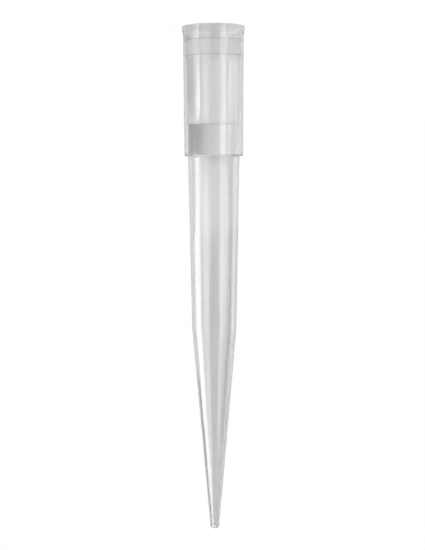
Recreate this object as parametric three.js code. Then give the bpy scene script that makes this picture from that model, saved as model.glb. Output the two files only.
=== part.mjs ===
// Filter pipette tip of the 1000 microlitre size: a one-piece moulded barrel and a sintered filter plug.
// The tip stands on its open rim at z = 0 and its point is up. Both pieces are bodies of revolution about
// the Z axis. Millimetres.
import * as THREE from 'three';

// Driving dimensions. Heights run along the axis, and walls are measured square to it.
const COLLAR_HEIGHT = 17.74;      // rim to the ledge that hangs the tip in its rack
const SHAFT_HEIGHT = 26.36;       // ledge to the bend
const CONE_HEIGHT = 33.84;        // bend to the point
const SHAFT_DIAMETER = 7.5;       // outside, just past the ledge
const BEND_DIAMETER = 6.78;       // outside, where the shaft's taper meets the cone's
const POINT_DIAMETER = 1.46;      // outside, at the point
const SHAFT_WALL = 0.5;
const POINT_WALL = 0.34;

const LEDGE_WIDTH = 0.515;        // step from the shaft out to the collar
const LEDGE_THICKNESS = 0.29;     // plastic between the ledge and the inner shoulder
const CHAMBER_WALL = 0.54;        // collar wall beside the filter
const SOCKET_WALL = 0.32;         // collar wall just inside the sealing land
const SEAL_WALL = 0.37;           // collar wall at the sealing land
const SEAL_START = 1.87;          // depth of the lead-in
const SEAL_LENGTH = 2.05;
const SEAL_BEVEL = 0.03;          // length of the steep step at each end of the land
const SEAL_STEP = 0.04;           // how far the land stands in from the lead-in before it
const RIM_PROUD = 0.11;           // bead on the rim, proud of the collar
const RIM_BEAD_HEIGHT = 0.6;
const RIM_BLEND_HEIGHT = 0.55;    // soft slope from the bead in to the collar
const LIP_WIDTH = 0.26;           // flat ring between the bead and the mouth

const PLUG_HEIGHT = 4.2;
const PLUG_CLEARANCE = 0.02;      // the plug is modelled just clear of the wall that grips it
const CHAMBER_DRAFT = 0.02;       // the chamber's radius grows by this from the shoulder to the plug's face

// Edge radii.
const LIP_RADIUS = 0.05;
const RIM_BLEND_RADIUS = 2.2;
const LEDGE_RADIUS = 0.1;
const SHAFT_ROOT_RADIUS = 0.04;
const BEND_RADIUS = 14;
const POINT_RADIUS = 0.05;
const ORIFICE_RADIUS = 0.04;
const SHOULDER_RADIUS = 0.04;
const SEAT_RADIUS = 0.04;
const PLUG_FACE_RADIUS = 0.06;

const SIDES = 64;                 // flats round each body
const ARC_STEPS = 3;              // chords in each rounded edge

// Heights above the rim.
const sealEnd = SEAL_START + SEAL_LENGTH;
const shoulderHeight = COLLAR_HEIGHT - LEDGE_THICKNESS;
const plugSeatHeight = shoulderHeight - PLUG_CLEARANCE;
const plugFaceHeight = plugSeatHeight - PLUG_HEIGHT;
const bendHeight = COLLAR_HEIGHT + SHAFT_HEIGHT;
const pointHeight = bendHeight + CONE_HEIGHT;

// Radii.
const shaftRadius = SHAFT_DIAMETER / 2;
const bendRadius = BEND_DIAMETER / 2;
const pointRadius = POINT_DIAMETER / 2;
const collarRadius = shaftRadius + LEDGE_WIDTH;
const rimRadius = collarRadius + RIM_PROUD;
const mouthRadius = rimRadius - LIP_WIDTH;
const chamberRadius = collarRadius - CHAMBER_WALL;

// A corner of an outline: its radius from the axis, its height, and the radius that rounds it.
function corner(radius, height, rounding = 0) {
  return { at: new THREE.Vector2(radius, height), rounding };
}

// The chords of the arc that rounds one corner, tangent to both of its sides. The arc is kept short of
// half of each side, so two rounded corners never meet.
function roundCorner(before, { at, rounding }, after) {
  if (rounding === 0) {
    return [at];
  }
  const toBefore = before.clone().sub(at);
  const toAfter = after.clone().sub(at);
  const halfAngle = Math.acos(toBefore.dot(toAfter) / (toBefore.length() * toAfter.length())) / 2;
  const room = Math.min(toBefore.length(), toAfter.length()) / 2;
  const tangent = Math.min(rounding / Math.tan(halfAngle), room);
  const radius = tangent * Math.tan(halfAngle);
  const bisector = toBefore.normalize().clone().add(toAfter.normalize()).normalize();
  const centre = at.clone().addScaledVector(bisector, radius / Math.sin(halfAngle));
  const start = at.clone().addScaledVector(toBefore, tangent).sub(centre);
  const turn = Math.sign(toAfter.cross(toBefore)) * (Math.PI - 2 * halfAngle);
  return Array.from({ length: ARC_STEPS + 1 }, (_, step) =>
    start.clone().rotateAround(new THREE.Vector2(), turn * step / ARC_STEPS).add(centre));
}

// The points of an outline from its corners, each rounded by its own radius.
function roundedOutline(corners) {
  return corners.flatMap((current, index) => {
    const before = corners[(index + corners.length - 1) % corners.length].at;
    const after = corners[(index + 1) % corners.length].at;
    return roundCorner(before, current, after);
  });
}

// An outline turned about the Z axis.
function turned(outline) {
  return new THREE.LatheGeometry(outline, SIDES).rotateX(Math.PI / 2);
}

// The outside of the barrel, from the lip up to the point: rim bead, collar, ledge, shaft and cone.
function outsideCorners() {
  return [
    corner(rimRadius, 0, LIP_RADIUS),
    corner(rimRadius, RIM_BEAD_HEIGHT, RIM_BLEND_RADIUS),
    corner(collarRadius, RIM_BEAD_HEIGHT + RIM_BLEND_HEIGHT, RIM_BLEND_RADIUS),
    corner(collarRadius, COLLAR_HEIGHT, LEDGE_RADIUS),
    corner(shaftRadius, COLLAR_HEIGHT, SHAFT_ROOT_RADIUS),
    corner(bendRadius, bendHeight, BEND_RADIUS),
    corner(pointRadius, pointHeight, POINT_RADIUS),
  ];
}

// The inside of the barrel, from the orifice down to the mouth: cone, shaft, shoulder, filter chamber,
// tapered socket, sealing land and lead-in.
function insideCorners() {
  return [
    corner(pointRadius - POINT_WALL, pointHeight, ORIFICE_RADIUS),
    corner(bendRadius - SHAFT_WALL, bendHeight, BEND_RADIUS - SHAFT_WALL),
    corner(shaftRadius - SHAFT_WALL, shoulderHeight, SHOULDER_RADIUS),
    corner(chamberRadius, shoulderHeight, SEAT_RADIUS),
    corner(chamberRadius + CHAMBER_DRAFT, plugFaceHeight),
    corner(collarRadius - SOCKET_WALL, sealEnd + SEAL_BEVEL),
    corner(collarRadius - SEAL_WALL, sealEnd),
    corner(collarRadius - SEAL_WALL, SEAL_START),
    corner(collarRadius - SEAL_WALL + SEAL_STEP, SEAL_START - SEAL_BEVEL),
    corner(mouthRadius, 0, LIP_RADIUS),
  ];
}

// The barrel's outline closes on itself at the lip.
function tipBarrel() {
  const outline = roundedOutline([...outsideCorners(), ...insideCorners()]);
  return turned([...outline, outline[0]]);
}

// The plug follows the chamber's draft and seat, one clearance inside them. Its outline starts and ends
// on the axis.
function filterPlug() {
  const seatRadius = chamberRadius - PLUG_CLEARANCE;
  return turned(roundedOutline([
    corner(0, plugFaceHeight),
    corner(seatRadius + CHAMBER_DRAFT, plugFaceHeight, PLUG_FACE_RADIUS),
    corner(seatRadius, plugSeatHeight, SEAT_RADIUS - PLUG_CLEARANCE),
    corner(0, plugSeatHeight),
  ]));
}

function piece(name, geometry, material) {
  const mesh = new THREE.Mesh(geometry, new THREE.MeshStandardMaterial(material));
  mesh.name = name;
  return mesh;
}

const tip = new THREE.Group();
tip.add(
  piece('tip_barrel', tipBarrel(), {
    color: '#dfe0e1',
    roughness: 0.18,
    metalness: 0,
    transparent: true,
    opacity: 0.4,
  }),
  piece('filter_plug', filterPlug(), { color: '#f2f2f0', roughness: 0.85, metalness: 0 }),
);

export default tip;
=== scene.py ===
"""A filter pipette tip: the fine surfaces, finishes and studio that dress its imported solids.

The tip stands on its rim at z = 0 with its axis on Z and its point up. Sizes are in metres.
"""

import math

import bpy
import numpy as np
from bpy.props import FloatProperty, FloatVectorProperty, IntProperty, PointerProperty
from mathutils import Matrix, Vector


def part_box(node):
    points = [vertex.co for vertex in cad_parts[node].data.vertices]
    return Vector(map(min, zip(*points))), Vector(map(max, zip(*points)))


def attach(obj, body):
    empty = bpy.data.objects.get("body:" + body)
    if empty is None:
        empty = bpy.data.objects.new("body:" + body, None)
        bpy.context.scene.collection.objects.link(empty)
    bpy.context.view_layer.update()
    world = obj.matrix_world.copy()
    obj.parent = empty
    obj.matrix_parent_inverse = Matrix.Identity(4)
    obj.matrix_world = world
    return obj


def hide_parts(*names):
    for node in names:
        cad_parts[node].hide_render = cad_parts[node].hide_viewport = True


bl_info = {
    "name": "Filter Pipette Tip",
    "version": (1, 0, 0),
    "blender": (4, 5, 0),
    "location": "3D View > Sidebar > Pipette Tip",
    "description": "Builds a clear moulded pipette tip with its sintered filter plug and a bright studio",
    "category": "Add Mesh",
}

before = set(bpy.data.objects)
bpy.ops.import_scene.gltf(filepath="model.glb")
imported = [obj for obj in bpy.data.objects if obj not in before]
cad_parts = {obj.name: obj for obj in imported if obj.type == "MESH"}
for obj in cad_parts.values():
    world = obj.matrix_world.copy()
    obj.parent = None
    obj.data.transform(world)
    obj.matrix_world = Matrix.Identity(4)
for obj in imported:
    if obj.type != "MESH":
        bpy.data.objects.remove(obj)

MM = 0.001
BARREL_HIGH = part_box("tip_barrel")[1]
PLUG_LOW, PLUG_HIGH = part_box("filter_plug")


# ---------------------------------------------------------------- sizes and colours


def length(name, description, default):
    """A size in metres, shown in the file's own length unit."""
    return FloatProperty(
        name=name, description=description, default=default, min=0.0, unit="LENGTH", precision=6
    )


def shade(name, description, default):
    """A linear colour, three values from 0 to 1."""
    return FloatVectorProperty(
        name=name, description=description, default=default, size=3, min=0.0, max=1.0, subtype="COLOR"
    )


def share(name, description, default):
    """A plain factor from 0 to 1."""
    return FloatProperty(
        name=name, description=description, default=default, min=0.0, max=1.0, subtype="FACTOR"
    )


def bearing(name, description, default):
    """An angle, given in degrees and kept in radians."""
    return FloatProperty(
        name=name, description=description, default=math.radians(default), subtype="ANGLE"
    )


def light(name, description, default):
    """The strength of a light, as a plain number."""
    return FloatProperty(name=name, description=description, default=default, min=0.0)


class TipBarrelSizes(bpy.types.PropertyGroup):
    """The sizes of the clear moulded barrel, from its rim to its point."""

    total_height: length("Total Height", "Rim to point", BARREL_HIGH.z)
    collar_height: length("Collar Height", "Rim to the ledge that the rack holds", 17.74 * MM)
    bend_height: length("Bend Height", "Where the shaft narrows into the long cone", 44.1 * MM)
    rim_radius: length("Rim Radius", "Outside of the bead round the mouth", BARREL_HIGH.x)
    rim_proud: length("Rim Proud", "How far the bead stands out from the collar", 0.11 * MM)
    rim_bead: length("Rim Bead", "Height of the bead's straight side", 0.6 * MM)
    rim_blend: length("Rim Blend", "Height of the slope from bead to collar", 0.55 * MM)
    shaft_radius: length("Shaft Radius", "Outside of the shaft at the ledge", 3.75 * MM)
    bend_radius: length("Bend Radius", "Outside of the shaft at the bend", 3.39 * MM)
    point_radius: length("Point Radius", "Outside of the point", 0.73 * MM)
    shaft_wall: length("Shaft Wall", "Wall of the shaft", 0.5 * MM)
    point_wall: length("Point Wall", "Wall at the point", 0.34 * MM)
    chamber_wall: length("Chamber Wall", "Wall beside the plug", 0.54 * MM)
    chamber_draft: length("Chamber Draft", "How much the chamber widens to the plug's face", 0.02 * MM)
    ledge_thickness: length("Ledge Thickness", "Floor under the ledge, inside the collar", 0.29 * MM)
    socket_wall: length("Socket Wall", "Wall of the nozzle's socket", 0.32 * MM)
    seal_wall: length("Seal Wall", "Wall of the narrow band that seals on the nozzle", 0.37 * MM)
    seal_start: length("Seal Start", "Mouth to the start of the sealing band", 1.87 * MM)
    seal_length: length("Seal Length", "Height of the sealing band", 2.05 * MM)
    seal_bevel: length("Seal Bevel", "Height of the step behind the sealing band", 0.03 * MM)
    seal_step: length("Seal Step", "How far the band stands in from the lead-in before it", 0.04 * MM)
    mouth_lip: length("Mouth Lip", "Width of the flat rim round the mouth", 0.26 * MM)
    edge_rounding: length("Edge Rounding", "Rounding of the rim's edges and the point's", 0.05 * MM)
    blend_rounding: length("Blend Rounding", "Rounding of both ends of the rim's slope", 2.2 * MM)
    ledge_rounding: length("Ledge Rounding", "Rounding of the ledge's outer edge", 0.1 * MM)
    corner_rounding: length("Corner Rounding", "Rounding of the shaft's corners and bore end", 0.04 * MM)
    bend_rounding: length("Bend Rounding", "Rounding of the bend outside", 14 * MM)
    bore_rounding: length("Bore Rounding", "Rounding of the bend in the bore", 13.5 * MM)
    seal_rounding: length("Seal Rounding", "Rounding behind the sealing band", 0.025 * MM)
    fine_rounding: length("Fine Rounding", "Rounding of the chamber's seat and the lead-in", 0.02 * MM)
    sides: IntProperty(name="Sides", description="Facets round the barrel", default=288, min=32)


class FilterPlugSizes(bpy.types.PropertyGroup):
    """The sizes of the filter plug and of its sintered grains."""

    radius_low: length("Lower Radius", "Radius at the face that looks at the mouth", PLUG_HIGH.x)
    taper: length("Taper", "How much narrower the other end is", 0.02 * MM)
    face_rounding: length("Face Rounding", "Rounding of the edge that looks at the mouth", 0.015 * MM)
    seat_rounding: length("Seat Rounding", "Rounding of the edge that seats on the shoulder", 0.015 * MM)
    grain: length("Grain", "Spacing of the sintered grains", 0.3 * MM)
    grain_depth: length("Grain Depth", "Depth of the hollows between grains", 0.026 * MM)
    sides: IntProperty(name="Sides", description="Facets round the plug", default=384, min=32)


class TipFinish(bpy.types.PropertyGroup):
    """The colours and gloss of both materials."""

    clear_tint: shade("Clear Tint", "What the clear wall lets through", (0.88, 0.881, 0.882))
    clear_gloss: share("Clear Roughness", "Roughness of the moulded wall", 0.08)
    clear_haze: share("Clear Haze", "How much the roughness drifts over the wall", 0.05)
    filter_colour: shade("Filter Colour", "Sintered plastic", (0.93, 0.93, 0.92))
    pore_colour: shade("Pore Colour", "Bottom of the pores", (0.82, 0.82, 0.81))


class StudioSizes(bpy.types.PropertyGroup):
    """The studio: where the camera stands, and how bright floor, room and lamps are."""

    camera_distance: length("Camera Distance", "From the tip's axis", 100.8 * MM)
    camera_height: length("Camera Height", "Above the rim", 12.83 * MM)
    camera_side: length("Camera Side", "Sideways step of the camera", 0.245 * MM)
    camera_pitch: bearing("Camera Pitch", "How far the camera looks up", 12.7)
    camera_roll: bearing("Camera Roll", "Turn about the line of sight, so the point hangs down", 179.80)
    camera_lens: FloatProperty(
        name="Camera Lens", description="Focal length in mm", default=44.7, min=1.0
    )
    room_light: light("Room Light", "Strength of the room's soft light", 1.0)
    wall_light: light("Wall Light", "Strength of the room's light through the clear wall", 2.45)
    backdrop: share("Backdrop", "Brightness of the backdrop behind the clear wall", 0.8)
    lamp_light: light("Lamp Light", "Radiance of the lamp overhead", 1.2)
    lamp_side: length("Lamp Side", "Side of the square lamp overhead", 0.5)
    mouth_light: FloatProperty(
        name="Mouth Light", description="Power of the spot that lights the plug from the mouth",
        default=0.0036, min=0.0, unit="POWER", precision=5,
    )
    mouth_lamp_height: length("Mouth Lamp Height", "The mouth's spot, above the rim", 0.2 * MM)
    mouth_lamp_radius: length("Mouth Lamp Radius", "Radius of the mouth's spot", 1.0 * MM)
    mouth_lamp_cone: bearing("Mouth Lamp Cone", "Full angle of the mouth's spot", 30)
    floor_colour: shade("Floor Colour", "Pale floor", (0.9, 0.9, 0.9))
    floor_glow: share("Floor Glow", "Share of the floor that shows plain white whatever the shadow", 0.75)


# ---------------------------------------------------------------- shapes


def rounded_outline(corners, steps):
    """A closed outline whose corners are arcs.

    Each row of corners is (radius, height, rounding). The arc's centre lies on the corner's bisector,
    rounding / sin(half the corner's angle) away, and the arc sweeps from one tangent point to the other.
    """
    at, rounding = corners[:, :2], corners[:, 2:]
    before, after = np.roll(at, 1, axis=0) - at, np.roll(at, -1, axis=0) - at
    before /= np.linalg.norm(before, axis=1, keepdims=True)
    after /= np.linalg.norm(after, axis=1, keepdims=True)
    half = 0.5 * np.arccos(np.sum(before * after, axis=1, keepdims=True))
    bisector = (before + after) / np.linalg.norm(before + after, axis=1, keepdims=True)
    centre = at + bisector * rounding / np.sin(half)
    start = at + before * rounding / np.tan(half) - centre
    end = at + after * rounding / np.tan(half) - centre
    sweep = (math.pi - 2 * half)[:, None]
    share_along = np.linspace(0.0, 1.0, steps + 1)[None, :, None]
    arcs = centre[:, None] + (
        start[:, None] * np.sin((1 - share_along) * sweep) + end[:, None] * np.sin(share_along * sweep)
    ) / np.sin(sweep)
    outline = arcs.reshape(-1, 2)
    apart = np.linalg.norm(outline - np.roll(outline, 1, axis=0), axis=1)
    return outline[apart > 1e-9]


def with_rings(outline, pitch, hold):
    """The same outline with more points along its straights.

    Points are placed by distance along the line: the old ones, one every pitch, and a pair at hold
    either side of each old one, so that smooth shading stays inside the rounded corners.
    """
    along = np.concatenate([[0.0], np.cumsum(np.linalg.norm(np.diff(outline, axis=0), axis=1))])
    near = (along[:, None] + np.array([-hold, hold])[None, :]).ravel()
    near = near[np.min(np.abs(near[:, None] - along[None, :]), axis=1) > 0.9 * hold]
    even = np.arange(0.0, along[-1], pitch)
    kept = np.concatenate([along, near])
    even = even[np.min(np.abs(even[:, None] - kept[None, :]), axis=1) > 0.35 * pitch]
    places = np.unique(np.clip(np.concatenate([kept, even]), 0.0, along[-1]))
    return np.stack([np.interp(places, along, outline[:, k]) for k in (0, 1)], axis=1)


def turned_points(outline, sides):
    """Points of the outline turned about Z: (radius cos a, radius sin a, height) for each angle a."""
    angle = np.linspace(0.0, 2 * math.pi, sides, endpoint=False)
    radius, height = outline[:, :1], outline[:, 1:]
    return np.stack(
        [radius * np.cos(angle), radius * np.sin(angle), np.broadcast_to(height, (len(outline), sides))],
        axis=2,
    )


def grid_faces(rows, sides, closed):
    """Four-sided faces between neighbouring rows, each closed on itself and, if asked, last to first."""
    low = np.arange(rows if closed else rows - 1)[:, None]
    high = (low + 1) % rows
    one = np.arange(sides)[None, :]
    two = (one + 1) % sides
    return np.stack(
        [low * sides + one, low * sides + two, high * sides + two, high * sides + one], axis=2
    ).reshape(-1, 4)


def new_piece(name, points, faces, material, node):
    """A smooth mesh object that takes a node's place on the root body, with the given finish in its slot.
    """
    mesh = bpy.data.meshes.new(name)
    mesh.from_pydata(points, [], faces)
    if mesh.validate():
        raise RuntimeError(f"{name} has invalid faces")
    mesh.shade_smooth()
    mesh.materials.append(material)
    piece = bpy.data.objects.new(name, mesh)
    bpy.context.scene.collection.objects.link(piece)
    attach(piece, "root")
    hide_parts(node)
    return piece


def barrel_corners(s):
    """Corners (radius, height, rounding) up the outside of the barrel and back down its bore.

    The argument s holds the barrel's sizes.
    """
    collar = s.rim_radius - s.rim_proud
    shoulder = s.collar_height - s.ledge_thickness
    seal_end = s.seal_start + s.seal_length
    shaft_bore = s.shaft_radius - s.shaft_wall
    chamber = collar - s.chamber_wall
    return np.array(
        [
            (s.rim_radius, 0.0, s.edge_rounding),
            (s.rim_radius, s.rim_bead, s.blend_rounding),
            (collar, s.rim_bead + s.rim_blend, s.blend_rounding),
            (collar, s.collar_height, s.ledge_rounding),
            (s.shaft_radius, s.collar_height, s.corner_rounding),
            (s.bend_radius, s.bend_height, s.bend_rounding),
            (s.point_radius, s.total_height, s.edge_rounding),
            (s.point_radius - s.point_wall, s.total_height, s.corner_rounding),
            (s.bend_radius - s.shaft_wall, s.bend_height, s.bore_rounding),
            (shaft_bore, shoulder, s.corner_rounding),
            (chamber, shoulder, s.fine_rounding),
            (chamber + s.chamber_draft, PLUG_LOW.z, 0.0),
            (collar - s.socket_wall, seal_end + s.seal_bevel, s.seal_rounding),
            (collar - s.seal_wall, seal_end, s.seal_rounding),
            (collar - s.seal_wall, s.seal_start, s.fine_rounding),
            (collar - s.seal_wall + s.seal_step, s.seal_start - s.seal_bevel, s.fine_rounding),
            (s.rim_radius - s.mouth_lip, 0.0, s.edge_rounding),
        ]
    )


def grain_hollows(points, spacing):
    """How deep each point lies between its sintered grains, from 0 on a grain's crown to 1.

    Space is cut into cubes of the spacing, each holding one grain centre at a seeded random place. The
    hollow is the squared distance to the nearest centre of the 27 cubes around, over its largest value.
    """
    cells = points / spacing
    home = np.floor(cells).astype(np.int64)
    nearest = np.full(points.shape[:-1], np.inf)
    steps = np.array(np.meshgrid(*[(-1, 0, 1)] * 3, indexing="ij")).reshape(3, -1).T
    for step in steps:
        cube = home + step
        mixed = (cube * np.array([73856093, 19349663, 83492791])).sum(-1)
        offset = np.stack([np.sin(mixed * k % 10007) * 43758.5453 % 1.0 for k in (1, 3, 7)], axis=-1)
        nearest = np.minimum(nearest, np.sum((cube + 0.2 + 0.6 * offset - cells) ** 2, axis=-1))
    return np.clip(nearest / 0.75, 0.0, 1.0)


# ---------------------------------------------------------------- materials


def put_at(node, place):
    """Lays a node out at (column, row) of the editor, so that no two overlap."""
    node.location = (place[0] * 220, place[1] * -260)


def fill_socket(tree, socket, value):
    """Links another node's output to the socket, or sets its own value."""
    if isinstance(value, bpy.types.NodeSocket):
        tree.links.new(value, socket)
    else:
        socket.default_value = value


def add_node(tree, kind, place, **inputs):
    """A node of this kind at (column, row), with its input sockets set or linked by name."""
    node = tree.nodes.new(kind)
    put_at(node, place)
    for name, value in inputs.items():
        fill_socket(tree, node.inputs[name.replace("_", " ")], value)
    return node


def arithmetic(tree, operation, place, first, second=0.0, third=0.0):
    """One Math node's answer."""
    node = add_node(tree, "ShaderNodeMath", place)
    node.operation = operation
    for socket, value in zip(node.inputs, (first, second, third)):
        fill_socket(tree, socket, value)
    return node.outputs[0]


def ranged(tree, place, value, from_low, from_high, to_low, to_high):
    """One Map Range node's answer."""
    node = add_node(
        tree, "ShaderNodeMapRange", place, Value=value, From_Min=from_low, From_Max=from_high,
        To_Min=to_low, To_Max=to_high,
    )
    return node.outputs[0]


def mixed_colour(tree, place, factor, first, second):
    """One Mix node's colour between two colours."""
    node = add_node(tree, "ShaderNodeMix", place)
    node.data_type = "RGBA"
    for index, value in ((0, factor), (6, first), (7, second)):
        fill_socket(tree, node.inputs[index], value)
    return node.outputs[2]


def mixed_value(tree, place, factor, first, second):
    """One Mix node's value between two values."""
    node = add_node(tree, "ShaderNodeMix", place)
    for index, value in ((0, factor), (2, first), (3, second)):
        fill_socket(tree, node.inputs[index], value)
    return node.outputs[0]


def mixed_shader(tree, place, factor, first, second, out):
    """Mixes two shaders and links the result to the output node's surface."""
    mix = add_node(tree, "ShaderNodeMixShader", place)
    for index, value in enumerate((factor, first, second)):
        tree.links.new(value, mix.inputs[index])
    tree.links.new(mix.outputs[0], out.inputs["Surface"])


def mottle_group():
    """Plastic's uneven skin: a soft mottle of a given size, as a mask from 0 to 1 and as a height."""
    name = "plastic_mottle"
    if name in bpy.data.node_groups:
        return bpy.data.node_groups[name]
    group = bpy.data.node_groups.new(name, "ShaderNodeTree")
    group.interface.new_socket("Vector", in_out="INPUT", socket_type="NodeSocketVector")
    for label, value in (("Scale", 1000.0), ("Detail", 3.0), ("Contrast", 1.0)):
        socket = group.interface.new_socket(label, in_out="INPUT", socket_type="NodeSocketFloat")
        socket.default_value = value
    group.interface.new_socket("Mask", in_out="OUTPUT", socket_type="NodeSocketFloat")
    group.interface.new_socket("Height", in_out="OUTPUT", socket_type="NodeSocketFloat")
    given = add_node(group, "NodeGroupInput", (0, 0))
    noise = add_node(
        group,
        "ShaderNodeTexNoise",
        (1, 0),
        Vector=given.outputs["Vector"],
        Scale=given.outputs["Scale"],
        Detail=given.outputs["Detail"],
        Roughness=0.55,
    )
    centred = arithmetic(group, "SUBTRACT", (2, 0), noise.outputs[0], 0.5)
    steeper = arithmetic(group, "MULTIPLY_ADD", (3, 0), centred, given.outputs["Contrast"], 0.5)
    floored = arithmetic(group, "MAXIMUM", (4, 0), steeper, 0.0)
    mask = arithmetic(group, "MINIMUM", (5, 0), floored, 1.0)
    add_node(group, "NodeGroupOutput", (6, 0), Mask=mask, Height=noise.outputs[0])
    return group


def mottle(tree, place, vector, scale, detail, contrast):
    """The plastic_mottle group placed in a material with its own values."""
    node = add_node(tree, "ShaderNodeGroup", place)
    node.node_tree = mottle_group()
    for name, value in (("Vector", vector), ("Scale", scale), ("Detail", detail), ("Contrast", contrast)):
        fill_socket(tree, node.inputs[name], value)
    return node


def new_material(name):
    """A material with its node tree, its Principled shader and its output node."""
    material = bpy.data.materials.new(name)
    material.use_nodes = True
    tree = material.node_tree
    shader, out = tree.nodes["Principled BSDF"], tree.nodes["Material Output"]
    put_at(shader, (7, 0))
    put_at(out, (9, 0))
    return material, tree, shader, out


def bumped(tree, place, height, strength, distance):
    """A normal tilted by a height."""
    node = add_node(tree, "ShaderNodeBump", place, Height=height, Strength=strength, Distance=distance)
    return node.outputs[0]


def clear_polypropylene(finish):
    """Clear moulded polypropylene: flow lines drawn along the tip and a haze that drifts over it."""
    material, tree, shader, _ = new_material("clear_polypropylene")
    place = add_node(tree, "ShaderNodeTexCoord", (0, 0)).outputs["Object"]
    drawn = add_node(tree, "ShaderNodeMapping", (1, 1), Vector=place, Scale=(1.0, 1.0, 0.02))
    flow = mottle(tree, (2, 1), drawn.outputs[0], scale=1400.0, detail=2.0, contrast=1.0)
    haze = mottle(tree, (2, 0), place, scale=260.0, detail=4.0, contrast=1.8)
    tint = (*finish.clear_tint, 1.0)
    paler = (*[0.985 * value for value in finish.clear_tint], 1.0)
    colour = mixed_colour(tree, (4, 0), haze.outputs["Mask"], tint, paler)
    roughness = arithmetic(
        tree, "MULTIPLY_ADD", (4, 1), haze.outputs["Mask"], finish.clear_haze, finish.clear_gloss
    )
    bump = bumped(tree, (5, 2), flow.outputs["Height"], strength=0.015, distance=0.02 * MM)
    tree.links.new(colour, shader.inputs["Base Color"])
    tree.links.new(roughness, shader.inputs["Roughness"])
    tree.links.new(bump, shader.inputs["Normal"])
    shader.inputs["IOR"].default_value = 1.49
    shader.inputs["Transmission Weight"].default_value = 0.97
    return material


def sintered_polyethylene(finish):
    """White sintered polyethylene: matt grains with darker pores between and a fine tooth on them."""
    material, tree, shader, _ = new_material("sintered_polyethylene")
    place = add_node(tree, "ShaderNodeTexCoord", (0, 0)).outputs["Object"]
    pores = mottle(tree, (2, 0), place, scale=5200.0, detail=3.0, contrast=2.4)
    clouds = mottle(tree, (2, 1), place, scale=700.0, detail=2.0, contrast=1.6)
    depth = arithmetic(tree, "MULTIPLY", (3, 0), pores.outputs["Mask"], 0.55)
    both = arithmetic(tree, "MULTIPLY_ADD", (3, 1), clouds.outputs["Mask"], 0.3, depth)
    grain, pore = (*finish.filter_colour, 1.0), (*finish.pore_colour, 1.0)
    colour = mixed_colour(tree, (4, 0), both, grain, pore)
    roughness = arithmetic(tree, "MULTIPLY_ADD", (4, 1), pores.outputs["Mask"], 0.15, 0.78)
    bump = bumped(tree, (5, 2), pores.outputs["Height"], strength=0.5, distance=0.04 * MM)
    tree.links.new(colour, shader.inputs["Base Color"])
    tree.links.new(roughness, shader.inputs["Roughness"])
    tree.links.new(bump, shader.inputs["Normal"])
    shader.inputs["Specular IOR Level"].default_value = 0.3
    return material


# ---------------------------------------------------------------- studio

# Screens stand round the tip on circles. Each row is (name, first bearing, last bearing, foot, top,
# distance, radiance): bearings in degrees from the camera's side, positive towards -X, and lengths in
# millimetres. Radiance 0 is a black card. These show in the reflections of the clear wall alone.
HIGH_SCREENS = (
    ("left_key_foot", -94, -64, 33, 66, 300, 5.2),
    ("left_key", -97, -68, 66, 160, 300, 4.8),
    ("left_key_top", -97, -66, 160, 293, 300, 4.8),
    ("left_key_crown", -80, -66, 293, 420, 300, 4.8),
    ("left_key_side", -101, -97, 60, 86, 302, 4.8),
    ("left_wing", -112.5, -97, 82, 150, 302, 4.6),
    ("left_wing_top", -110, -97, 150, 240, 302, 4.6),
    ("left_key_edge", -101, -97, 250, 288, 300, 4.8),
    ("left_top", -66, -59, 250, 420, 299, 4.8),
    ("left_crown", -59, -44, 275, 430, 298, 4.8),
    ("left_back_card", -150, -107, 185, 420, 304, 0.4),
    ("left_strip", -60, -46, 44, 155, 300, 2.8),
    ("left_strip_middle", -60, -46, 155, 215, 300, 2.0),
    ("left_strip_top", -60, -46, 215, 400, 300, 2.8),
    ("left_front", -46, -27, 46, 130, 302, 2.2),
    ("left_front_middle", -46, -27, 130, 160, 302, 1.8),
    ("left_front_upper", -46, -30, 160, 210, 302, 1.3),
    ("left_front_top", -46, -30, 210, 320, 302, 1.9),
    ("front_strip", -27, -14, 50, 110, 301, 1.3),
    ("right_strip", 26.5, 52, 35, 54, 300, 2.9),
    ("right_strip_middle", 26.5, 52, 54, 90, 300, 2.35),
    ("right_strip_upper", 26.5, 52, 90, 120, 300, 2.7),
    ("right_strip_top", 28.5, 52, 120, 180, 300, 2.3),
    ("right_edge", 52, 63, 35, 54, 301, 1.8),
    ("right_edge_middle", 52, 63, 54, 95, 301, 1.2),
    ("right_edge_upper", 52, 63, 95, 120, 301, 1.8),
    ("right_edge_top", 52, 60, 120, 142, 301, 1.5),
    ("right_card", 63, 98, 32, 76, 299, 0.0),
    ("right_card_top", 63, 98, 76, 110, 299, 0.4),
    ("right_top", 25, 50, 180, 215, 300, 1.3),
    ("right_crown", 25, 50, 215, 270, 300, 1.2),
    ("right_rim", 104, 125, 32, 165, 300, 1.55),
    ("right_rim_top", 98, 121, 165, 295, 300, 0.9),
    ("right_rim_crown", 98, 121, 295, 420, 300, 0.3),
    ("right_back_card", 121, 150, 190, 420, 300, 0.66),
)
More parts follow.
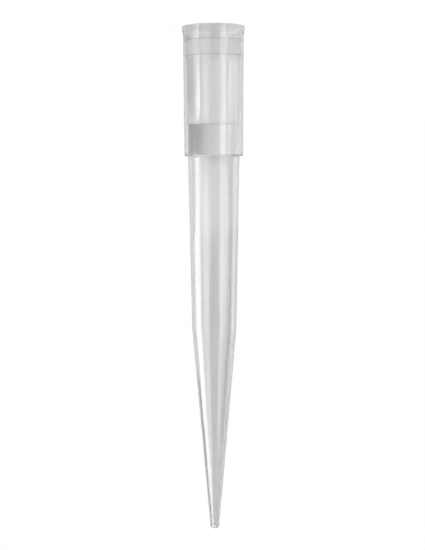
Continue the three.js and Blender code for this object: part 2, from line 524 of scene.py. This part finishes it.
LOW_SCREENS = (
    ("left_low", -74, -63, 0, 7.5, 60, 2.0),
    ("left_low_strip", -63, -54, 0, 7.5, 60, 3.6),
    ("left_low_upper", -74, -63, 7.5, 13.3, 60, 3.9),
    ("left_low_bright", -63, -54, 7.5, 13.3, 60, 7.4),
    ("left_low_gap", -54, -44.5, 0, 13.3, 60, 0.0),
    ("left_low_dark", -76, -50, 13.3, 21, 60, 0.3),
    ("front_left_low", -44, -16, 0, 21, 60, 1.4),
    ("front_low", -16, 9, 0, 13.3, 60, 0.6),
    ("front_right_low", 15, 24, 0, 13.3, 60, 1.05),
    ("right_low", 24, 33, 0, 13.3, 60, 2.2),
    ("right_low_plug", 24, 33, 13.3, 21, 60, 4.0),
    ("right_low_strip", 33, 46, 0, 21, 60, 4.0),
    ("right_side_strip", 58, 73, 0, 13.3, 60, 3.0),
    ("right_side_low", 73, 100, 0, 13.3, 60, 2.2),
    ("right_side_plug", 58, 68, 13.3, 21, 60, 2.2),
    ("right_side_dark", 68, 92, 13.3, 21, 60, 0.2),
    ("right_back_low", 100, 126, 0, 21, 60, 1.0),
    ("left_low_card", -124, -78, 0, 13.3, 60, 0.2),
    ("left_low_plug", -124, -92, 13.3, 21, 60, 1.1),
)

# These stand behind the tip and also show straight through the clear wall.
BACK_SCREENS = (
    ("back_card", 166, 172.5, 75, 143, 300, 0.55),
    ("back_card_middle", 166, 172.5, 143, 200, 300, 0.42),
    ("back_card_top", 166, 172.5, 200, 400, 300, 0.5),
    ("horizon_card", 175, 183, 28, 32.5, 300, 0.0),
    ("horizon_glow_low", 178.7, 188.5, 52, 58, 300, 0.88),
    ("horizon_glow_left", 178.7, 188.5, 58, 79, 300, 0.92),
    ("horizon_glow_right", 169.5, 174.5, 58, 79, 300, 0.92),
    ("left_back_low", -172, -160, 0, 13.3, 61, 0.72),
)

# Sheets lie just above the floor, and these show in the gloss alone: (name, first bearing, last bearing,
# radiance).
FLOOR_SHEETS = (
    ("left_dark_sheet", -128, -78, 0.0),
    ("left_sheet", -78, -52, 1.6),
    ("left_gap_sheet", -52, -44, 0.0),
    ("front_left_sheet", -44, -14, 0.7),
    ("front_dark_sheet", -12, 22, 0.0),
    ("right_sheet", 24, 49, 2.6),
    ("right_dark_sheet", 50, 98, 0.0),
    ("right_rim_sheet", 98, 122, 0.5),
)
SHEET_START, SHEET_END, SHEET_HEIGHT = 9, 59, 0.1

# These sheets, in the mouth and behind the tip, also show straight through the clear wall: (name, first
# bearing, last bearing, start, end, height, radiance). The grey sheets in the mouth are painted shade:
# they darken the floor inside the rim, where the tip's shade falls.
CLEAR_SHEETS = (
    # Painted shade: grey discs on the floor inside the mouth, in place of the shade there.
    ("mouth_shade_sheet", -180, 180, 0.05, 3.9, 0.05, 0.62),
    ("mouth_shade_front", -5, 17, 0.05, 3.9, 0.08, 0.54),
    ("mouth_shade_back", 163, 185, 0.05, 3.9, 0.08, 0.54),
    ("back_sheet", 173, 183, 9, 20, 0.1, 0.72),
    ("back_sheet_far", 177.4, 181.3, 26, 59, 0.1, 0.73),
)
SCREEN_COLUMNS = 25
FLOOR_REACH = 2.0

# What the camera sees of the floor, and the share of the backdrop that the floor sends to the plug
# through the clear wall.
FLOOR_WHITE, FLOOR_TO_PLUG = 1.05, 0.5

# The mirrored room, by a direction's parts: the backdrop comes up as Y goes from its start to full, and
# the ground's glow falls to the room's as Z crosses the horizon.
BACKDROP_START, BACKDROP_FULL = 0.44, 0.52
HORIZON_LOW, HORIZON_HIGH = 0.155, 0.17
GROUND_GLOW, ROOM_GLOW = 0.85, 0.02

# Light on the plug through the wall: (direction, how far a way must turn towards it, strength).
FRONT_LIGHT = ((-0.6, -0.8, 0.4), 0.2, 1.6)
BACK_LIGHT = ((0.3, 0.95, 0.0), 0.5, 1.8)


def screen_material(radiance, see_through):
    """A screen that glows or is black where the tip mirrors it, and isn't there for matt surfaces.

    A see-through screen also shows straight through the clear wall.
    """
    material, tree, shader, out = new_material(f"screen_{radiance:g}")
    tree.nodes.remove(shader)
    path = add_node(tree, "ShaderNodeLightPath", (0, 0))
    fewest_reflections = -0.5 if see_through else 0.5
    lit = arithmetic(tree, "LESS_THAN", (1, 0), path.outputs["Diffuse Depth"], 0.5)
    mirrored = arithmetic(tree, "GREATER_THAN", (1, 1), path.outputs["Glossy Depth"], fewest_reflections)
    shown = arithmetic(tree, "MULTIPLY", (2, 0), lit, mirrored)
    gone = add_node(tree, "ShaderNodeBsdfTransparent", (2, 1))
    glow = add_node(tree, "ShaderNodeEmission", (2, 2), Strength=radiance)
    mixed_shader(tree, (3, 0), shown, gone.outputs[0], glow.outputs[0], out)
    return material


def new_screen(name, first, last, profile, radiance, see_through=False):
    """A card bent round the tip: each profile point (distance, height) swept over the bearings."""
    columns = SCREEN_COLUMNS
    bearings = np.radians(np.linspace(first, last, columns))
    distance, height = np.array(profile).T[:, :, None] * MM
    across, along = -distance * np.sin(bearings), -distance * np.cos(bearings)
    points = np.stack(np.broadcast_arrays(across, along, height), axis=2).reshape(-1, 3)
    low = np.arange(len(profile) - 1)[:, None] * columns
    one = low + np.arange(columns - 1)[None, :]
    faces = np.stack([one, one + 1, one + columns + 1, one + columns], axis=2).reshape(-1, 4)
    mesh = bpy.data.meshes.new(name)
    mesh.from_pydata(points, [], faces.tolist())
    mesh.materials.append(screen_material(radiance, see_through))
    screen = bpy.data.objects.new(name, mesh)
    screen.visible_camera = False
    screen.visible_diffuse = False
    screen.visible_shadow = False
    bpy.context.scene.collection.objects.link(screen)
    return screen


def pale_floor(studio):
    """A pale floor that is plain white to the eye and keeps the tip's soft shadow.

    The camera sees it white, gloss and glass see the backdrop's brightness, and the plug, which looks out
    through the clear wall, sees a share of that.
    """
    material, tree, shader, out = new_material("pale_floor")
    shader.inputs["Base Color"].default_value = (*studio.floor_colour, 1.0)
    shader.inputs["Roughness"].default_value = 1.0
    shader.inputs["Specular IOR Level"].default_value = 0.0
    path = add_node(tree, "ShaderNodeLightPath", (0, 0))
    camera, through = path.outputs["Is Camera Ray"], path.outputs["Is Transmission Ray"]
    backdrop = studio.backdrop
    gloss = arithmetic(tree, "MAXIMUM", (1, 0), path.outputs["Is Glossy Ray"], through)
    seen = arithmetic(tree, "MAXIMUM", (2, 0), gloss, camera)
    matt = arithmetic(tree, "GREATER_THAN", (1, 1), path.outputs["Diffuse Depth"], 0.5)
    inside = arithmetic(tree, "MULTIPLY", (2, 1), matt, through)
    plain = arithmetic(tree, "MULTIPLY_ADD", (2, 2), camera, FLOOR_WHITE - backdrop, backdrop)
    plain = arithmetic(tree, "MULTIPLY_ADD", (3, 2), inside, (FLOOR_TO_PLUG - 1) * backdrop, plain)
    glow = add_node(tree, "ShaderNodeEmission", (4, 2), Strength=plain)
    glow_share = arithmetic(tree, "MULTIPLY", (3, 0), seen, studio.floor_glow)
    glow_share = arithmetic(tree, "MAXIMUM", (4, 0), glow_share, inside)
    mixed_shader(tree, (8, 0), glow_share, shader.outputs[0], glow.outputs[0], out)
    return material


def light_from(tree, row, way, towards, start, strength):
    """Light that grows from 0 to the strength as the way turns towards a direction."""
    facing = add_node(tree, "ShaderNodeVectorMath", (2, row))
    facing.operation = "DOT_PRODUCT"
    fill_socket(tree, facing.inputs[0], way)
    fill_socket(tree, facing.inputs[1], towards)
    return ranged(tree, (3, row), facing.outputs["Value"], start, 1.0, 0.0, strength)


def studio_world(studio):
    """Soft room light on matt surfaces, and a backdrop in gloss and glass.

    Gloss mirrors the backdrop behind the tip and below the horizon, and a dark room elsewhere. Straight
    through the clear wall the backdrop is plain all round, and the camera sees white.
    """
    world = bpy.data.worlds.new("studio_world")
    world.use_nodes = True
    bpy.context.scene.world = world
    tree = world.node_tree
    path = add_node(tree, "ShaderNodeLightPath", (0, 0))
    way = add_node(tree, "ShaderNodeTexCoord", (0, 2)).outputs["Generated"]
    parts = add_node(tree, "ShaderNodeSeparateXYZ", (1, 2), Vector=way)
    y, z = parts.outputs["Y"], parts.outputs["Z"]
    behind = ranged(tree, (2, 1), y, BACKDROP_START, BACKDROP_FULL, 0.0, 1.0)
    below = ranged(tree, (2, 2), z, HORIZON_LOW, HORIZON_HIGH, GROUND_GLOW, ROOM_GLOW)
    behind = arithmetic(tree, "MULTIPLY", (3, 1), behind, studio.backdrop)
    mirrored = arithmetic(tree, "MAXIMUM", (4, 1), behind, below)
    straight = arithmetic(tree, "LESS_THAN", (1, 0), path.outputs["Glossy Depth"], 0.5)
    plain = arithmetic(tree, "MULTIPLY", (2, 0), straight, studio.backdrop)
    backdrop = arithmetic(tree, "MAXIMUM", (5, 1), mirrored, plain)
    front = light_from(tree, 3, way, *FRONT_LIGHT)
    back = light_from(tree, 4, way, *BACK_LIGHT)
    sides = arithmetic(tree, "ADD", (4, 3), front, back)
    through = path.outputs["Is Transmission Ray"]
    wall = arithmetic(tree, "MULTIPLY", (5, 3), through, sides)
    room = arithmetic(tree, "MULTIPLY_ADD", (6, 3), wall, studio.wall_light, studio.room_light)
    room = arithmetic(tree, "MULTIPLY_ADD", (7, 3), through, -studio.room_light, room)
    matt = arithmetic(tree, "GREATER_THAN", (1, 1), path.outputs["Diffuse Depth"], 0.5)
    seen = mixed_value(tree, (8, 0), matt, backdrop, room)
    strength = mixed_value(tree, (9, 0), path.outputs["Is Camera Ray"], seen, 1.0)
    background = tree.nodes["Background"]
    put_at(background, (10, 0))
    put_at(tree.nodes["World Output"], (11, 0))
    background.inputs["Color"].default_value = (1.0, 1.0, 1.0, 1.0)
    tree.links.new(strength, background.inputs["Strength"])


def new_floor(studio):
    """The floor, a square at z = 0."""
    mesh = bpy.data.meshes.new("floor")
    reach = FLOOR_REACH
    corners = [(-reach, -reach, 0), (reach, -reach, 0), (reach, reach, 0), (-reach, reach, 0)]
    mesh.from_pydata(corners, [], [(0, 1, 2, 3)])
    mesh.materials.append(pale_floor(studio))
    floor = bpy.data.objects.new("floor", mesh)
    bpy.context.scene.collection.objects.link(floor)


def new_lamp(name, kind, place, turn, **settings):
    """A lamp that the camera doesn't see, turned by these angles from looking straight down."""
    lamp = bpy.data.lights.new(name, kind)
    for key, value in settings.items():
        setattr(lamp, key, value)
    lamp_object = bpy.data.objects.new(name, lamp)
    lamp_object.location = place
    lamp_object.rotation_euler = turn
    lamp_object.visible_camera = False
    bpy.context.scene.collection.objects.link(lamp_object)
    return lamp_object


def new_camera(studio):
    """The camera, below the tip's middle and looking up, rolled so that the point hangs down."""
    camera = bpy.data.cameras.new("camera")
    camera.lens = studio.camera_lens
    camera.clip_start, camera.clip_end = 0.005, 20.0
    camera_object = bpy.data.objects.new("camera", camera)
    camera_object.matrix_world = (
        Matrix.Translation((studio.camera_side, -studio.camera_distance, studio.camera_height))
        @ Matrix.Rotation(math.pi / 2 + studio.camera_pitch, 4, "X")
        @ Matrix.Rotation(studio.camera_roll, 4, "Z")
    )
    bpy.context.scene.collection.objects.link(camera_object)
    bpy.context.scene.camera = camera_object


# ---------------------------------------------------------------- operators


class PIPETTETIP_OT_barrel(bpy.types.Operator):
    """Build the clear barrel, one closed wall from rim to point and back down the bore"""

    bl_idname = "pipette_tip.barrel"
    bl_label = "Build Barrel"

    def execute(self, context):
        sizes = context.scene.tip_barrel
        outline = rounded_outline(barrel_corners(sizes), steps=8)
        outline = with_rings(np.vstack([outline, outline[:1]]), pitch=1.2 * MM, hold=0.04 * MM)[:-1]
        points = turned_points(outline, sizes.sides).reshape(-1, 3)
        faces = grid_faces(len(outline), sizes.sides, closed=True).tolist()
        material = clear_polypropylene(context.scene.tip_finish)
        new_piece("clear_barrel", points, faces, material, "tip_barrel")
        return {"FINISHED"}


class PIPETTETIP_OT_filter(bpy.types.Operator):
    """Build the filter plug, a disc of sintered grains that sits in the collar"""

    bl_idname = "pipette_tip.filter"
    bl_label = "Build Filter"

    def execute(self, context):
        sizes = context.scene.filter_plug
        low, high, sides = PLUG_LOW.z, PLUG_HIGH.z, sizes.sides
        radius_high = sizes.radius_low - sizes.taper
        corners = np.array(
            [
                (-sizes.radius_low, low, 0.0),
                (sizes.radius_low, low, sizes.face_rounding),
                (radius_high, high, sizes.seat_rounding),
                (-radius_high, high, 0.0),
            ]
        )
        half = rounded_outline(corners, steps=5)
        half = half[half[:, 0] > 0]
        half = np.vstack([[(0.0, low)], half, [(0.0, high)]])
        half = with_rings(half, pitch=0.06 * MM, hold=0.02 * MM)
        along = np.gradient(half, axis=0)
        outward = np.stack([along[:, 1], -along[:, 0]], axis=1)
        outward /= np.linalg.norm(outward, axis=1, keepdims=True)
        points = turned_points(half, sides)
        normals = turned_points(outward, sides)
        hollow = grain_hollows(points, sizes.grain)[..., None]
        points = (points - normals * hollow * sizes.grain_depth)[1:-1]
        rows = len(points)
        bands = grid_faces(rows, sides, closed=False)
        one = np.arange(sides)
        two = (one + 1) % sides
        foot, top = rows * sides, rows * sides + 1
        fans = np.concatenate(
            [
                np.stack([np.full(sides, foot), two, one], axis=1),
                np.stack([np.full(sides, top), one + foot - sides, two + foot - sides], axis=1),
            ]
        )
        poles = [(0.0, 0.0, points[row, :, 2].mean()) for row in (0, -1)]
        points = np.vstack([points.reshape(-1, 3), poles])
        faces = [*bands.tolist(), *fans.tolist()]
        material = sintered_polyethylene(context.scene.tip_finish)
        new_piece("sintered_filter", points, faces, material, "filter_plug")
        return {"FINISHED"}


class PIPETTETIP_OT_studio(bpy.types.Operator):
    """Build the pale floor, the screens, the lamps, the world and the camera"""

    bl_idname = "pipette_tip.studio"
    bl_label = "Build Studio"

    def execute(self, context):
        studio = context.scene.tip_studio
        new_floor(studio)
        for name, first, last, foot, top, distance, radiance in (*HIGH_SCREENS, *LOW_SCREENS):
            new_screen(name, first, last, [(distance, foot), (distance, top)], radiance)
        for name, first, last, radiance in FLOOR_SHEETS:
            profile = [(SHEET_START, SHEET_HEIGHT), (SHEET_END, SHEET_HEIGHT)]
            new_screen(name, first, last, profile, radiance).visible_transmission = False
        for name, first, last, start, end, height, radiance in CLEAR_SHEETS:
            new_screen(name, first, last, [(start, height), (end, height)], radiance, True)
        for name, first, last, foot, top, distance, radiance in BACK_SCREENS:
            new_screen(name, first, last, [(distance, foot), (distance, top)], radiance, True)
        new_lamp(
            "overhead_lamp", "AREA", (-0.25, -0.2, 0.8), (math.radians(-14), math.radians(-17), 0),
            shape="SQUARE", size=studio.lamp_side,
            energy=math.pi * studio.lamp_side**2 * studio.lamp_light,
        )
        mouth_lamp = new_lamp(
            "mouth_lamp", "SPOT", (0.0, 0.0, studio.mouth_lamp_height), (math.pi, 0, 0),
            energy=studio.mouth_light, shadow_soft_size=studio.mouth_lamp_radius,
            spot_size=studio.mouth_lamp_cone, spot_blend=0.2,
        )
        mouth_lamp.visible_glossy = False
        mouth_lamp.visible_transmission = False
        studio_world(studio)
        new_camera(studio)
        context.scene.view_settings.view_transform = "Standard"
        return {"FINISHED"}


class PIPETTETIP_PT_panel(bpy.types.Panel):
    """Lists the tip's operators with the sizes and colours they use"""

    bl_label = "Pipette Tip"
    bl_space_type = "VIEW_3D"
    bl_region_type = "UI"
    bl_category = "Pipette Tip"

    def draw(self, context):
        for operator, group in zip(OPERATORS, ("tip_barrel", "filter_plug", "tip_studio")):
            box = self.layout.box()
            box.operator(operator.bl_idname)
            settings = getattr(context.scene, group)
            for name in settings.__annotations__:
                box.prop(settings, name)
        finish = self.layout.box()
        for name in context.scene.tip_finish.__annotations__:
            finish.prop(context.scene.tip_finish, name)


GROUPS = {
    "tip_barrel": TipBarrelSizes,
    "filter_plug": FilterPlugSizes,
    "tip_finish": TipFinish,
    "tip_studio": StudioSizes,
}
OPERATORS = (PIPETTETIP_OT_barrel, PIPETTETIP_OT_filter, PIPETTETIP_OT_studio)


def register():
    """Registers the groups on the scene, the operators and the panel."""
    for name, group in GROUPS.items():
        bpy.utils.register_class(group)
        setattr(bpy.types.Scene, name, PointerProperty(type=group))
    for operator in (*OPERATORS, PIPETTETIP_PT_panel):
        bpy.utils.register_class(operator)


def unregister():
    """Takes everything that register added away again."""
    for operator in reversed((*OPERATORS, PIPETTETIP_PT_panel)):
        bpy.utils.unregister_class(operator)
    for name, group in reversed(GROUPS.items()):
        delattr(bpy.types.Scene, name)
        bpy.utils.unregister_class(group)


def main():
    """Registers the classes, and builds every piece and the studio."""
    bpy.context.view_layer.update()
    register()
    bpy.ops.pipette_tip.barrel()
    bpy.ops.pipette_tip.filter()
    bpy.ops.pipette_tip.studio()


if __name__ == "__main__":
    main()
